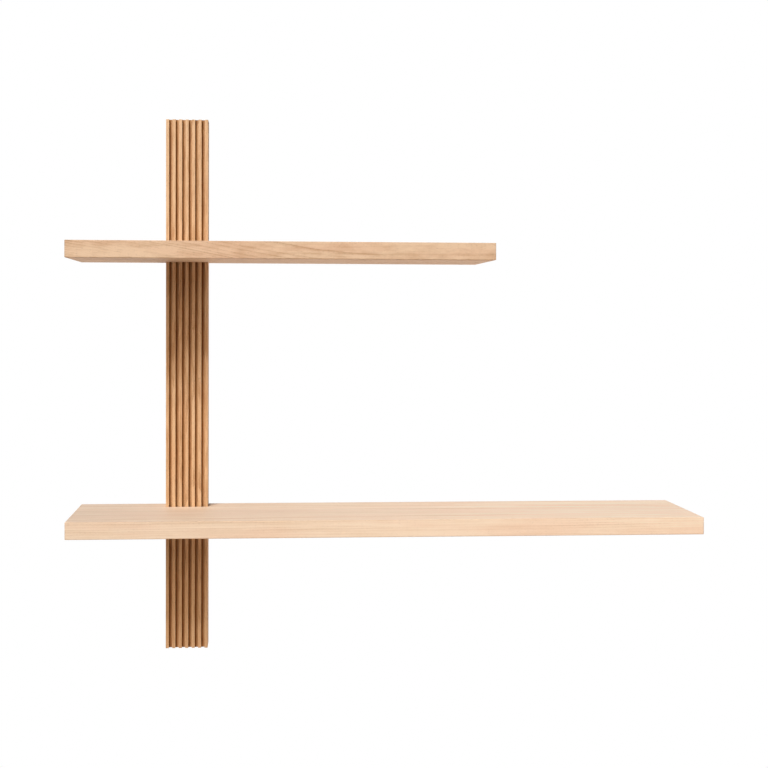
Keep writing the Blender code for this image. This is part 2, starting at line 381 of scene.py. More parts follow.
@dataclass(frozen=True)
class Oak:
    """Oiled oak, cut from a trunk whose heart lies beside the piece.

    The rings are shells round the heart line, so every face shows its own figure: arches where the
    line leans, stripes where it doesn't, and curved bands on the end grain.
    """

    name: str
    grain: Grain
    late_wood: Colour
    early_wood: Colour
    blush: Colour
    # The heart line across and through the piece, and how far it leans, swings and strays
    heart: Span
    lean: Span
    ring_width: float
    wander: float
    swing: Triple = (0.0, 1.0, 0.0)
    bow: Waves = Waves(2.2, 9.0, 1.5, 0.5)
    ripple: Waves = Waves(17.0, 70.0, 1.5, 0.5)
    ripple_share: float = 0.16
    stray_shift: float = 31.7
    seed: float = 0.0
    # The years, some wider than others, and the wood that grew early and late in each
    year_waves: float = 0.23
    year_layers: float = 2.0
    year_strength: float = 0.6
    year_level: float = 0.5
    year_spread: float = 2.4
    early_fall: float = 2.2
    early_least: float = 0.2
    early_spread: float = 0.9
    patches: Waves = Waves(3.4, 26.0, 1.5, 0.5, shift=2.1)
    patch_rise: Span = (0.34, 0.62)
    patch_shares: Span = (0.3, 1.15)
    late_start: float = 0.55
    # How much each layer of the figure adds between late wood, 0, and early wood, 1
    ground: float = 0.10
    figure: float = 0.55
    late: float = 0.05
    fibre: float = 0.42
    fibre_waves: Waves = Waves(9.0, 420.0, 3.0, 0.62)
    streak: float = 0.6
    streak_waves: Waves = Waves(2.6, 95.0, 2.0, 0.5)
    mottle: float = 0.4
    mottle_waves: Waves = Waves(36.0, 100.0, 2.0, 0.6, shift=4.7)
    # Pores, rays, end grain and the blush between them
    pore_waves: Waves = Waves(260.0, 2600.0, 1.0, 0.5)
    pore_crowding: float = 0.16
    pore_rise: Span = (0.60, 0.74)
    pore_tone: float = 0.28
    ray_waves: Triple = (70.0, 210.0, 60.0)
    ray_layers: float = 1.0
    ray_strength: float = 0.4
    ray_rise: Span = (0.66, 0.76)
    ray_tone: float = 0.10
    facing_rise: Span = (0.5, 0.9)
    end_tone: float = 0.22
    blush_waves: Waves = Waves(6.0, 48.0, 2.0, 0.55, shift=7.3)
    blush_rise: Span = (0.36, 0.66)
    blush_strength: float = 0.5
    # Painted light: how much paler it gets along its length, and on its top faces towards one end
    painted_light_along: float = 0.0
    top_light: Span = (0.0, 0.0)
    top_light_span: Span = (-0.15, 0.65)
    # Glued staves, each with its own place in the trunk
    stave_width: float = 0.0
    stave_start: float = 0.0
    stave_shades: tuple[float, ...] = ()
    stave_spread: float = 0.07
    stave_shift: float = 0.05
    stave_step: float = 1.7
    stave_seed: float = 3.0
    seam_rise: Span = (0.4988, 0.4999)
    seam_tone: float = 0.35
    # Painted shade on the arrises, most on the lower ones, and a tint that gets warmer towards the
    # bottom
    shade_colour: Colour = (218, 192, 152)
    arris_reach: float = 0.0018
    arris_shade: float = 0.35
    arris_top: float = 0.15
    arris_turn: Span = (-0.004, 0.004)
    foot_tint: Colour = WHITE
    foot_rise: Span = (0.30, -0.36)
    # Gloss and relief
    roughness: float = 0.58
    pore_roughness: float = 0.16
    fibre_roughness: float = 0.12
    ray_polish: float = 0.10
    gloss: float = 0.42
    relief: float = 0.00012
    relief_ground: float = 0.6
    pore_relief: float = 0.55
    early_relief: float = 0.12
    fibre_relief: float = 0.5
    seam_relief: float = 0.4

    def material(self, box: Box, rib_shading: RibShading | None = None) -> bpy.types.Material:
        """Build the timber's material.

        Args:
            box: Lowest and highest corner of the piece, where its arrises lie.
            rib_shading: The painted shade and highlights of its ribs.

        Returns:
            The material.
        """
        material, graph = new_material(self.name)
        figure = OakFigure(self, graph, box)
        graph.surface({"Base Color": figure.colour(rib_shading), "Roughness": figure.rough(),
                       "Normal": graph.bump(figure.height(), self.relief),
                       "Specular IOR Level": self.gloss})
        return material


class OakFigure:
    """The figure of one oak piece, worked out along, across and through its grain."""

    def __init__(self, oak: Oak, graph: ShaderGraph, box: Box) -> None:
        """Work out the masks that the piece's colour, gloss and relief share.

        Args:
            oak: The timber.
            graph: The material's graph.
            box: Lowest and highest corner of the piece.
        """
        self.oak, self.graph, self.box = oak, graph, box
        self.place = graph.split(graph.place())
        self.normal = graph.split(graph.signal("ShaderNodeNewGeometry", output="True Normal"))
        x, y, z = self.place
        lengthwise = oak.grain is Grain.ALONG_X
        self.length, self.across, self.through = (x, y, z) if lengthwise else (z, x, y)
        self.end = self.normal[0] if lengthwise else self.normal[2]
        self.stave, self.shade, self.seam = self.staves()
        self.along = self.length + oak.seed + self.stave * oak.stave_step
        self.grain = graph.join(self.along, self.across, self.through)
        radius, turn = self.round_heart()
        ring, phase = self.rings(radius)
        growth = oak.early_least + oak.early_spread * graph.chance(ring)
        patches = self.noise(oak.patches).ramp(*oak.patch_rise, *oak.patch_shares)
        self.early = (1 - phase) ** oak.early_fall * growth * patches
        self.late = phase.ramp(oak.late_start, 1.0)
        self.fibre = self.noise(oak.fibre_waves) - 0.5
        dashes = self.noise(oak.pore_waves) + self.early.clamped() * oak.pore_crowding
        self.pores = dashes.ramp(*oak.pore_rise)
        sheets = graph.join(self.along, turn, radius) * oak.ray_waves
        self.rays = graph.noise(sheets, oak.ray_layers, oak.ray_strength).ramp(*oak.ray_rise)

    def staves(self) -> tuple[Signal, Signal, Signal]:
        """Tell the glued staves of a board apart.

        Returns:
            The stave's number, its shade from 0 to 1 and a mask of its glue lines.
        """
        oak, none = self.oak, self.across * 0.0
        if not oak.stave_width:
            return none, none + 0.5, none
        share = (self.across - oak.stave_start) / oak.stave_width
        number = share.floor()
        line = abs(share.fraction() - 0.5).ramp(*oak.seam_rise)
        if not oak.stave_shades:
            return number, self.graph.chance(number + oak.seed + oak.stave_seed), line
        shade = none + oak.stave_shades[0]
        steps = zip(oak.stave_shades, oak.stave_shades[1:])
        for place, (here, following) in enumerate(steps, 1):
            shade = shade + number.ramp(place - 1, place, 0.0, following - here)
        return number, shade, line

    def spot(self, waves: Waves) -> Signal:
        """Return the place in a noise that is drawn out along the grain."""
        return self.grain * (waves.along, waves.across, waves.across) + (waves.shift, 0.0, 0.0)

    def noise(self, waves: Waves) -> Signal:
        """Return a noise that is drawn out along the grain."""
        return self.graph.noise(self.spot(waves), waves.layers, waves.strength)

    def stray(self, waves: Waves, size: float) -> list[Signal]:
        """Return how far the fibres stray from a straight line, sideways and in depth.

        Args:
            waves: The waves in which they stray.
            size: How far they stray, in metres.

        Returns:
            Two distances in metres.
        """
        spot = self.spot(waves)
        noises = [self.graph.noise(place, waves.layers, waves.strength)
                  for place in (spot, spot + self.oak.stray_shift)]
        return [(noise - 0.5) * (2 * size) for noise in noises]

    def round_heart(self) -> tuple[Signal, Signal]:
        """Measure from the heart line, which leans, swings and strays.

        Returns:
            The distance from it, and the angle round it.
        """
        oak, length = self.oak, self.length
        start, end, reach = oak.swing
        heart_across = (oak.heart[0] + oak.lean[0] * length
                        + oak.stave_shift * (self.shade - 0.5))
        heart_through = oak.heart[1] + oak.lean[1] * length + length.ramp(start, end, 0.0, reach)
        wide = self.stray(oak.bow, oak.wander)
        fine = self.stray(oak.ripple, oak.wander * oak.ripple_share)
        side = self.across - heart_across + wide[0] + fine[0]
        rise = self.through - heart_through + wide[1] + fine[1]
        return (side * side + rise * rise).root(), rise.maths("ARCTAN2", rise, side)

    def rings(self, radius: Signal) -> tuple[Signal, Signal]:
        """Count the rings out from the heart, some years wider than others.

        Args:
            radius: The distance from the heart line.

        Returns:
            The ring's number, and how far through that year the wood grew.
        """
        oak, graph = self.oak, self.graph
        spot = graph.join(radius * (oak.year_waves / oak.ring_width), oak.seed, oak.year_level)
        years = graph.noise(spot, oak.year_layers, oak.year_strength)
        count = radius / oak.ring_width + years * oak.year_spread
        return count.floor(), count.fraction()

    def arris(self) -> Signal:
        """Return where painted shade lies on the arrises of the piece's box, most on the lower
        ones.

        Returns:
            A mask from 0 to 1.
        """
        near = []
        for low, high, here in zip(*self.box, self.place):
            inside = (high - low) / 2 - abs(here - (low + high) / 2)
            near.append(inside.fade(0.0, self.oak.arris_reach))
        level = self.place[2] - (self.box[0].z + self.box[1].z) / 2
        edges = (near[0] * near[1]).larger(near[1] * near[2]).larger(near[0] * near[2])
        return edges * level.fade(*self.oak.arris_turn, self.oak.arris_top)

    def tone(self) -> Signal:
        """Return how light the wood is, with its pores, rays, staves and glue lines, and painted
        light along it and on its top.

        Returns:
            A share of the colour, about 1.
        """
        oak = self.oak
        # Painted light: paler along the length, and on top faces towards one end
        top_lit = self.length.ramp(*oak.top_light_span, *oak.top_light)
        painted_light = self.length * oak.painted_light_along + self.normal[2].ramp(*oak.facing_rise) * top_lit
        ends = abs(self.end).ramp(*oak.facing_rise)
        tone = 1 - self.pores * oak.pore_tone - ends * oak.end_tone - self.seam * oak.seam_tone
        return (tone * (1 + self.rays * oak.ray_tone)
                * (1 + oak.stave_spread * (self.shade - 0.5) + painted_light))

    def colour(self, rib_shading: RibShading | None) -> Signal:
        """Return the colour of the wood, with its painted shade and painted highlights.

        Args:
            rib_shading: The painted shade and highlights of the ribs.

        Returns:
            The colour.
        """
        oak, graph = self.oak, self.graph
        x, y, z = self.place
        figure = (oak.ground + self.early * oak.figure + self.late * oak.late
                  + self.fibre * oak.fibre + (self.noise(oak.streak_waves) - 0.5) * oak.streak
                  + (self.noise(oak.mottle_waves) - 0.5) * oak.mottle)
        colour = graph.blend(figure.clamped(), linear(oak.late_wood), linear(oak.early_wood))
        blush = self.noise(oak.blush_waves).ramp(*oak.blush_rise) * oak.blush_strength
        colour = graph.stain(blush, colour, oak.blush)
        # Painted shade on the arrises, most on the lower ones
        colour = graph.stain(self.arris() * oak.arris_shade, colour, oak.shade_colour)
        if oak.foot_tint != WHITE:
            colour = graph.stain(z.ramp(*oak.foot_rise), colour, oak.foot_tint)
        tone = self.tone()
        if rib_shading:
            # Painted shade in the grooves and just above the lower board, and a painted highlight
            # on the rib arrises
            groove_shade, arris_highlight = rib_shading.masks(x, y)
            colour = graph.stain(groove_shade, colour, rib_shading.shade_colour)
            colour = graph.blend(rib_shading.junction_shaded(z), colour, linear(rib_shading.junction_shade))
            tone = tone * (1 + arris_highlight * rib_shading.highlight_tone)
        return graph.blend(1.0, colour, graph.join(tone, tone, tone), "MULTIPLY")

    def rough(self) -> Signal:
        """Tell how rough the wood is: dull in the pores, polished on the rays.

        Returns:
            The roughness.
        """
        oak = self.oak
        return (oak.roughness + self.pores * oak.pore_roughness + self.fibre * oak.fibre_roughness
                - self.rays * oak.ray_polish)

    def height(self) -> Signal:
        """Tell how high the surface stands: pores, early wood and glue lines lie lower.

        Returns:
            The relief, from 0 to 1.
        """
        oak = self.oak
        return (oak.relief_ground - self.pores * oak.pore_relief - self.early * oak.early_relief
                + self.fibre * oak.fibre_relief - self.seam * oak.seam_relief)


@dataclass(frozen=True)
class Steel:
    """A plated or drawn steel, with its mill marks and a slightly uneven skin."""

    name: str
    bright: Colour
    dull: Colour
    stain: Colour
    marks: Triple
    roughness: float
    # Mill marks, clouds and scuffs, in waves for each metre, and the crystals of the plating
    cloud_waves: float = 60.0
    scuff_waves: float = 900.0
    fine_layers: float = 3.0
    fine_strength: float = 0.6
    scuff_layers: float = 2.0
    crystal_size: float = 0.0
    # What they do to the colour, the gloss and the relief
    mark_share: float = 0.9
    cloud_share: float = 0.6
    crystal_share: float = 0.5
    stain_strength: float = 0.4
    stain_rise: Span = (0.45, 0.7)
    cloud_roughness: float = 0.22
    mark_roughness: float = 0.16
    mark_relief: float = 0.7
    scuff_relief: float = 0.3
    relief: float = 0.00002

    def material(self) -> bpy.types.Material:
        """Build the steel's material.

        Returns:
            The material.
        """
        material, graph = new_material(self.name)
        place = graph.place()
        marks = graph.noise(place * self.marks, self.fine_layers, self.fine_strength)
        cloud = graph.noise(place * self.cloud_waves, self.fine_layers, self.fine_strength)
        scuffs = graph.noise(place * self.scuff_waves, self.scuff_layers)
        share = (marks - 0.5) * self.mark_share + cloud * self.cloud_share
        if self.crystal_size:
            crystal = graph.signal("ShaderNodeTexVoronoi", None,
                                   {"Vector": place, "Scale": 1 / self.crystal_size}, "Color")
            share = share + (graph.split(crystal)[0] - 0.5) * self.crystal_share
        colour = graph.blend(share.clamped(), linear(self.bright), linear(self.dull))
        stained = cloud.ramp(*self.stain_rise) * self.stain_strength
        rough = (self.roughness + (cloud - 0.5) * self.cloud_roughness
                 + (marks - 0.5) * self.mark_roughness)
        height = marks * self.mark_relief + scuffs * self.scuff_relief
        graph.surface({"Base Color": graph.blend(stained, colour, linear(self.stain)),
                       "Metallic": 1.0, "Roughness": rough,
                       "Normal": graph.bump(height, self.relief)})
        return material


# Shapes

@dataclass(frozen=True)
class Corner:
    """A corner of a plan, and how much of an edge's easing the side that leaves it takes."""

    x: float
    y: float
    radius: float
    eased: float = 1.0

    def spot(self) -> Vector:
        """Return the corner's place in the plan."""
        return Vector((self.x, self.y))


def round_corner(corner: Vector, arriving: Vector, leaving: Vector, radius: float,
                 facets: int) -> Plan:
    """Round one square corner of a plan.

    Args:
        corner: Where its two sides would meet.
        arriving: The direction of the side that ends there.
        leaving: The direction of the side that starts there.
        radius: The round's radius.
        facets: How many facets it has.

    Returns:
        The points of the round.
    """
    centre = corner - arriving * radius + leaving * radius
    turns = [QUARTER_TURN * step / facets for step in range(facets + 1)]
    return [centre - leaving * radius * math.cos(turn) + arriving * radius * math.sin(turn)
            for turn in turns]


def plan_ring(corners: Sequence[Corner], inset: float, facets: int) -> Plan:
    """Return a counterclockwise plan with its sides moved inwards.

    Args:
        corners: The square corners of the plan.
        inset: How far its sides move in.
        facets: How many facets each corner has.

    Returns:
        The points of the plan.
    """
    points: Plan = []
    for place, corner in enumerate(corners):
        before, after = corners[place - 1], corners[(place + 1) % len(corners)]
        arriving = (corner.spot() - before.spot()).normalized()
        leaving = (after.spot() - corner.spot()).normalized()
        first, second = inset * before.eased, inset * corner.eased
        inward = (Vector((-arriving.y, arriving.x)) * first
                  + Vector((-leaving.y, leaving.x)) * second)
        change = -min(first, second) if arriving.cross(leaving) > 0 else min(first, second)
        radius = max(corner.radius + change, 0.0)
        points += round_corner(corner.spot() + inward, arriving, leaving, radius, facets)
    return points


def rounded_plan(width: float, height: float, radius: float, facets: int) -> Plan:
    """Return the outline of a rectangle about the origin, its corners rounded.

    Args:
        width: Its size along X.
        height: Its size along Y.
        radius: Radius of its corners.
        facets: How many facets each corner has.

    Returns:
        The points of the outline.
    """
    across, up = width / 2, height / 2
    spots = ((across, up), (-across, up), (-across, -up), (across, -up))
    return plan_ring([Corner(*spot, radius) for spot in spots], 0.0, facets)


def polar(radius: float, turn: float, level: float) -> Vector:
    """Return a point by its distance from the Z axis, its angle round it and its height."""
    return Vector((radius * math.cos(turn), radius * math.sin(turn), level))


def raised(plan: Iterable[Sequence[float]], level: float) -> list[Vector]:
    """Return the points of a plan at a height."""
    return [Vector((*point, level)) for point in plan]


def circle(radius: float, level: float, facets: int) -> list[Vector]:
    """Return a ring of points round the Z axis, counterclockwise from above."""
    return [polar(radius, FULL_TURN * step / facets, level) for step in range(facets)]


def ringed_mesh(name: str, rings: Sequence[Sequence[Vector]],
                closed_ends: bool = True) -> bpy.types.Mesh:
    """Skin a stack of rings that all have the same number of points.

    Args:
        name: The mesh's name.
        rings: Loops of points, from the lowest up, each counterclockwise from above.
        closed_ends: Whether the first and last ring are capped.

    Returns:
        The mesh, with repeated points joined.
    """
    shape = bmesh.new()
    loops = [[shape.verts.new(point) for point in ring] for ring in rings]
    for lower, upper in zip(loops, loops[1:]):
        for here in range(len(lower)):
            following = (here + 1) % len(lower)
            shape.faces.new((lower[here], lower[following], upper[following], upper[here]))
    if closed_ends:
        shape.faces.new(list(reversed(loops[0])))
        shape.faces.new(loops[-1])
    return welded_mesh(shape, bpy.data.meshes.new(name), BUILT_WELD)


def welded_mesh(shape: bmesh.types.BMesh, mesh: bpy.types.Mesh, distance: float) -> bpy.types.Mesh:
    """Join the points of a shape that coincide, and write it to a mesh.

    Args:
        shape: The shape, which is used up.
        mesh: The mesh that takes it.
        distance: How close points have to lie to be joined.

    Returns:
        The mesh.
    """
    bmesh.ops.remove_doubles(shape, verts=shape.verts, dist=distance)
    shape.to_mesh(mesh)
    shape.free()
    return mesh


def eased_prism(name: str, corners: Sequence[Corner], low: float, high: float, ease: float,
                facets: int) -> bpy.types.Mesh:
    """Raise a plan into a solid whose two ends have round edges.

    Args:
        name: The mesh's name.
        corners: The plan's square corners.
        low: Height of the lower end.
        high: Height of the upper end.
        ease: Radius of the ends' edges.
        facets: How many facets each corner and each end's edge has.

    Returns:
        The mesh.
    """
    turns = [QUARTER_TURN * step / facets for step in range(facets + 1)]
    steps = [(ease * (1 - math.cos(turn)), ease * (1 - math.sin(turn))) for turn in turns]
    levels = [(low + rise, inset) for rise, inset in steps]
    levels += [(high - rise, inset) for rise, inset in reversed(steps)]
    plans = [(level, plan_ring(corners, inset, facets)) for level, inset in levels]
    return ringed_mesh(name, [raised(plan, level) for level, plan in plans])


def straight_prism(name: str, plan: Plan, low: float, high: float) -> bpy.types.Mesh:
    """Raise an outline into a solid with sharp ends."""
    return ringed_mesh(name, [raised(plan, level) for level in (low, high)])


def turned_mesh(name: str, profile: Sequence[Span], facets: int) -> bpy.types.Mesh:
    """Turn a profile, pairs of radius and height from the lowest up, about the Z axis."""
    return ringed_mesh(name, [circle(radius, level, facets) for radius, level in profile])


def add_object(name: str, data: bpy.types.ID, matrix: Matrix | None = None) -> bpy.types.Object:
    """Add an object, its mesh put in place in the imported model's frame.

    Args:
        name: The object's name.
        data: Its mesh, camera or light.
        matrix: How a mesh is turned and moved.

    Returns:
        The object, at the origin.
    """
    if matrix is not None:
        data.transform(matrix)
    item = bpy.data.objects.new(name, data)
    bpy.context.scene.collection.objects.link(item)
    return item


def keep_result(item: bpy.types.Object) -> None:
    """Make what the modifiers of an object give its own mesh.

    Args:
        item: The object.
    """
    bpy.context.view_layer.update()
    evaluated = item.evaluated_get(bpy.context.evaluated_depsgraph_get())
    mesh = bpy.data.meshes.new_from_object(evaluated)
    item.modifiers.clear()
    item.data = mesh
    shape = bmesh.new()
    shape.from_mesh(mesh)
    welded_mesh(shape, mesh, CUT_WELD)


def carve(item: bpy.types.Object, cutters: Iterable[bpy.types.Object]) -> None:
    """Cut shapes out of an object and remove the shapes.

    Args:
        item: The object.
        cutters: The shapes.
    """
    cutters = list(cutters)
    for cutter in cutters:
        boolean = item.modifiers.new(cutter.name, "BOOLEAN")
        boolean.operation = "DIFFERENCE"
        boolean.solver = "EXACT"
        boolean.object = cutter
    keep_result(item)
    for cutter in cutters:
        bpy.data.objects.remove(cutter, do_unlink=True)


def smooth_rounds(item: bpy.types.Object) -> None:
    """Shade the rounds of an object smooth and its flats flat.

    Args:
        item: The object.
    """
    item.data.shade_smooth()
    item.data.set_sharp_from_angle(angle=SHARP_ANGLE)
    weighted = item.modifiers.new("flat_faces", "WEIGHTED_NORMAL")
    weighted.keep_sharp = True


def show_piece(item: bpy.types.Object, node: str, finish: bpy.types.Material) -> None:
    """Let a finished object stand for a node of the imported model.

    Args:
        item: The object.
        node: The node's name.
        finish: The material.
    """
    item.data.materials.clear()
    item.data.materials.append(finish)
    smooth_rounds(item)
    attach(item, BODY)
    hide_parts(node)
    LOG.info("%s: %d faces in %s", item.name, len(item.data.polygons), finish.name)


def facing_wall(across: float, inward: float, up: float) -> Matrix:
    """Return the matrix that lays a shape made on the XY plane flat, its +Z side to the wall.

    Args:
        across: Where its centre goes along X.
        inward: How far it lies in from the wall plane.
        up: Where its centre goes along Z.

    Returns:
        The matrix.
    """
    turned = Matrix(((-1, 0, 0), (0, 0, 1), (0, 1, 0))).to_4x4()
    return Matrix.Translation((across, -inward, up)) @ turned


# Fixings

@dataclass(frozen=True)
class WoodScrew:
    """A countersunk wood screw with a cross recess, its head's face at z = 0, its point below.

    A size whose name ends in share is a part of the head, of the shank or of the length.
    """

    head_radius: float
    shank_radius: float
    length: float
    pitch: float
    # The head's rim, the thread and the point
    rim_share: float = 0.08
    rim_ease_share: float = 0.6
    thread_share: float = 0.66
    thread_depth_share: float = 0.26
    crest_slope: float = 3.2
    point_share: float = 0.2
    # The recess: its depth, and the half length and half width of each arm at three heights
    recess_depth_share: float = 1.7
    recess_foot: Span = (0.16, 0.09)
    recess_mouth: Span = (0.58, 0.13)
    recess_brim: Span = (0.60, 0.13)
    brim_share: float = 0.2
    facets: int = 28
    steps_per_turn: int = 6

    def rim(self) -> float:
        """Return the height of the head's straight rim."""
        return self.head_radius * self.rim_share

    def neck(self) -> float:
        """Return how far below its face the head's cone meets the shank."""
        return self.rim() + self.head_radius - self.shank_radius

    def mesh(self, name: str) -> bpy.types.Mesh:
        """Build the screw.

        Args:
            name: The mesh's name.

        Returns:
            The mesh.
        """
        rim = self.rim()
        edge = rim * self.rim_ease_share
        top = -self.length * (1 - self.thread_share)
        step = self.pitch / self.steps_per_turn
        count = int(self.length * self.thread_share / step)
        rings = [circle(0.0, -self.length, self.facets)]
        rings += [self.thread_ring(top - place * step, top) for place in range(count - 1, 0, -1)]
        rings += [circle(radius, level, self.facets) for radius, level in (
            (self.shank_radius, top), (self.shank_radius, -self.neck()), (self.head_radius, -rim),
            (self.head_radius, -edge), (self.head_radius - edge, 0.0), (0.0, 0.0))]
        return ringed_mesh(name, rings, closed_ends=False)

    def thread_ring(self, level: float, top: float) -> list[Vector]:
        """Return the thread's outline at one height.

        Args:
            level: The height.
            top: The height at which the thread starts.

        Returns:
            The points of the outline.
        """
        to_point = min(1.0, (self.length + level) / (self.length * self.point_share))
        run_in = min(1.0, (top - level) / self.pitch)
        ring = []
        for turn in (FULL_TURN * facet / self.facets for facet in range(self.facets)):
            phase = (level / self.pitch - turn / FULL_TURN) % 1.0
            crest = max(0.0, 1 - abs(phase - 0.5) * self.crest_slope)
            depth = self.shank_radius * self.thread_depth_share * run_in * (1 - crest)
            ring.append(polar((self.shank_radius - depth) * to_point, turn, level))
        return ring

    def recess(self, name: str) -> list[bpy.types.Object]:
        """Build the two crossed wedges that cut the driver's recess.

        Args:
            name: The start of their names.

        Returns:
            The cutters, in the screw's own place.
        """
        depth = self.recess_depth_share * (self.head_radius - self.shank_radius)
        levels = ((self.recess_foot, -depth), (self.recess_mouth, 0.0),
                  (self.recess_brim, depth * self.brim_share))
        wedges = []
        for arm in range(2):
            rings = []
            for (length, width), level in levels:
                x, y = self.head_radius * length, self.head_radius * width
                rings.append(raised(((-x, -y), (x, -y), (x, y), (-x, y)), level))
            turn = Matrix.Rotation((arm + 0.5) * QUARTER_TURN, 4, "Z")
            wedges.append(add_object(f"{name}_arm_{arm}", ringed_mesh(name, rings), turn))
        return wedges

    def hole(self, name: str, gap: float, matrix: Matrix) -> bpy.types.Object:
        """Build the cut that clears the screw.

        Args:
            name: The cutter's name.
            gap: The gap all round.
            matrix: The screw's place.

        Returns:
            The cutter.
        """
        shank, head, bottom = self.shank_radius + gap, self.head_radius + gap, -self.length - gap
        profile = [(0.0, bottom), (shank, bottom), (shank, -self.neck()), (head, -self.rim()),
                   (head, self.head_radius), (0.0, self.head_radius)]
        return add_object(name, turned_mesh(name, profile, self.facets), matrix)

    def add(self, node: str, matrix: Matrix, finish: bpy.types.Material) -> None:
        """Add one screw in its place.

        Args:
            node: The node that it stands for.
            matrix: Its place.
            finish: Its material.
        """
        item = add_object(f"shown_{node}", self.mesh(node))
        carve(item, self.recess(node))
        item.data.transform(matrix)
        show_piece(item, node, finish)


@dataclass
class Fixing:
    """A steel plate let into oak at the wall side, with the screws that hold it."""

    node: str
    centre: Span
    width: float
    height: float
    thickness: float
    corner_radius: float
    screw: WoodScrew
    screw_inset: float
    plate_inset: float = 0.0005
    fit_gap: float = 0.0003
    cut_overrun: float = 0.004
    burr: float = 0.00022
    burr_facets: int = 2
    bed_facets: int = 6
    plate_facets: int = 8
    screw_places: tuple[tuple[str, float, float], ...] = field(init=False)

    def place(self, across: float = 0.0, up: float = 0.0) -> Matrix:
        """Return the matrix of a point on the plate's wall side, measured from its centre."""
        return facing_wall(self.centre[0] + across, self.plate_inset, self.centre[1] + up)

    def block(self, name: str, plan: Plan, depth: float, above: float) -> bpy.types.Object:
        """Raise an outline on the plate's wall side, from a depth below it to a height above."""
        return add_object(name, straight_prism(name, plan, -depth, above), self.place())

    def recess(self) -> bpy.types.Object:
        """Build the cut that takes the plate.

        Returns:
            The cutter.
        """
        gap = self.fit_gap
        plan = rounded_plan(self.width + 2 * gap, self.height + 2 * gap, self.corner_radius + gap,
                            self.bed_facets)
        return self.block(f"{self.node}_bed", plan, self.thickness + gap, self.cut_overrun)

    def screw_matrices(self) -> list[tuple[str, Matrix]]:
        """Return the name and place of each screw."""
        return [(name, self.place(across, up)) for name, across, up in self.screw_places]

    def screw_holes(self, use: str) -> list[bpy.types.Object]:
        """Return cutters that clear the screws, named for their use."""
        return [self.screw.hole(f"{name}_{use}", self.fit_gap, matrix)
                for name, matrix in self.screw_matrices()]

    def add_screws(self, finish: bpy.types.Material) -> None:
        """Add the screws in their finish."""
        for name, matrix in self.screw_matrices():
            self.screw.add(name, matrix, finish)

    def add_plate(self, openings: Iterable[bpy.types.Object], node: str,
                  finish: bpy.types.Material) -> None:
        """Add the plate with its openings, and break its sharp edges.

        Args:
            openings: The shapes that are cut out of it.
            node: The node that it stands for.
            finish: Its material.
        """
        plan = rounded_plan(self.width, self.height, self.corner_radius, self.plate_facets)
        item = self.block(f"shown_{node}", plan, self.thickness, 0.0)
        carve(item, [*openings, *self.screw_holes("plate_hole")])
        bevel = item.modifiers.new("broken_edges", "BEVEL")
        bevel.width = self.burr
        bevel.segments = self.burr_facets
        bevel.limit_method = "ANGLE"
        bevel.angle_limit = BEVEL_ANGLE
        keep_result(item)
        show_piece(item, node, finish)


@dataclass
class KeyholeHanger(Fixing):
    """A small plate with a keyhole, which drops over a screw in the wall."""

    width: float = 0.050
    height: float = 0.018
    thickness: float = 0.002
    corner_radius: float = 0.004
    screw: WoodScrew = WoodScrew(head_radius=0.0035, shank_radius=0.00175, length=0.016,
                                 pitch=0.0014)
    screw_inset: float = 0.007
    edge_land: float = 0.0025
    entry_radius: float = 0.00475
    slot_radius: float = 0.0025
    head_room: float = 0.007
    facets: int = 10
    entry: float = field(init=False)
    slot: float = field(init=False)

    def __post_init__(self) -> None:
        """Place the two screws, and find the heights of the keyhole's entry and its slot's end."""
        reach = self.width / 2 - self.screw_inset
        self.screw_places = ((f"{self.node}_screw_left", -reach, 0.0),
                             (f"{self.node}_screw_right", reach, 0.0))
        self.entry = -self.height / 2 + self.edge_land + self.entry_radius
        self.slot = self.height / 2 - self.edge_land - self.slot_radius

    @staticmethod
    def arc(level: float, radius: float, start: float, end: float, facets: int) -> Plan:
        """Draw an arc about a point on the plate's centre line.

        Args:
            level: The height of that point.
            radius: The arc's radius.
            start: The angle at which it starts, in radians.
            end: The angle at which it ends.
            facets: How many facets it has.

        Returns:
            The points of the arc.
        """
        turns = [start + (end - start) * step / facets for step in range(facets + 1)]
        return [Vector((radius * math.cos(turn), level + radius * math.sin(turn)))
                for turn in turns]

    def keyhole(self) -> Plan:
        """Draw the keyhole: a round entry with a slot above it.

        Returns:
            The points of its outline.
        """
        mouth = math.asin(self.slot_radius / self.entry_radius)
        lower = self.arc(self.entry, self.entry_radius, QUARTER_TURN + mouth,
                         QUARTER_TURN + FULL_TURN - mouth, 3 * self.facets)
        return lower + self.arc(self.slot, self.slot_radius, 0.0, HALF_TURN, self.facets)

    def pocket(self) -> Plan:
        """Return the outline that the wall screw's head sweeps."""
        upper = self.arc(self.slot, self.entry_radius, 0.0, HALF_TURN, self.facets)
        return upper + self.arc(self.entry, self.entry_radius, HALF_TURN, FULL_TURN, self.facets)

    def cutters(self) -> list[bpy.types.Object]:
        """Build what is milled and drilled out of the oak.

        Returns:
            The cutters of the bed, of the wall screw's pocket and of the screws.
        """
        depth = self.thickness + self.fit_gap + self.head_room
        pocket = self.block(f"{self.node}_pocket", self.pocket(), depth, self.cut_overrun)
        return [self.recess(), pocket, *self.screw_holes("hole")]

    def build(self, plate_finish: bpy.types.Material, screw_finish: bpy.types.Material) -> None:
        """Add the plate and its two screws.

        Args:
            plate_finish: The plate's material.
            screw_finish: The screws' material.
        """
        opening = self.block(f"{self.node}_keyhole", self.keyhole(),
                             self.thickness + self.cut_overrun, self.cut_overrun)
        self.add_plate([opening], self.node, plate_finish)
        self.add_screws(screw_finish)


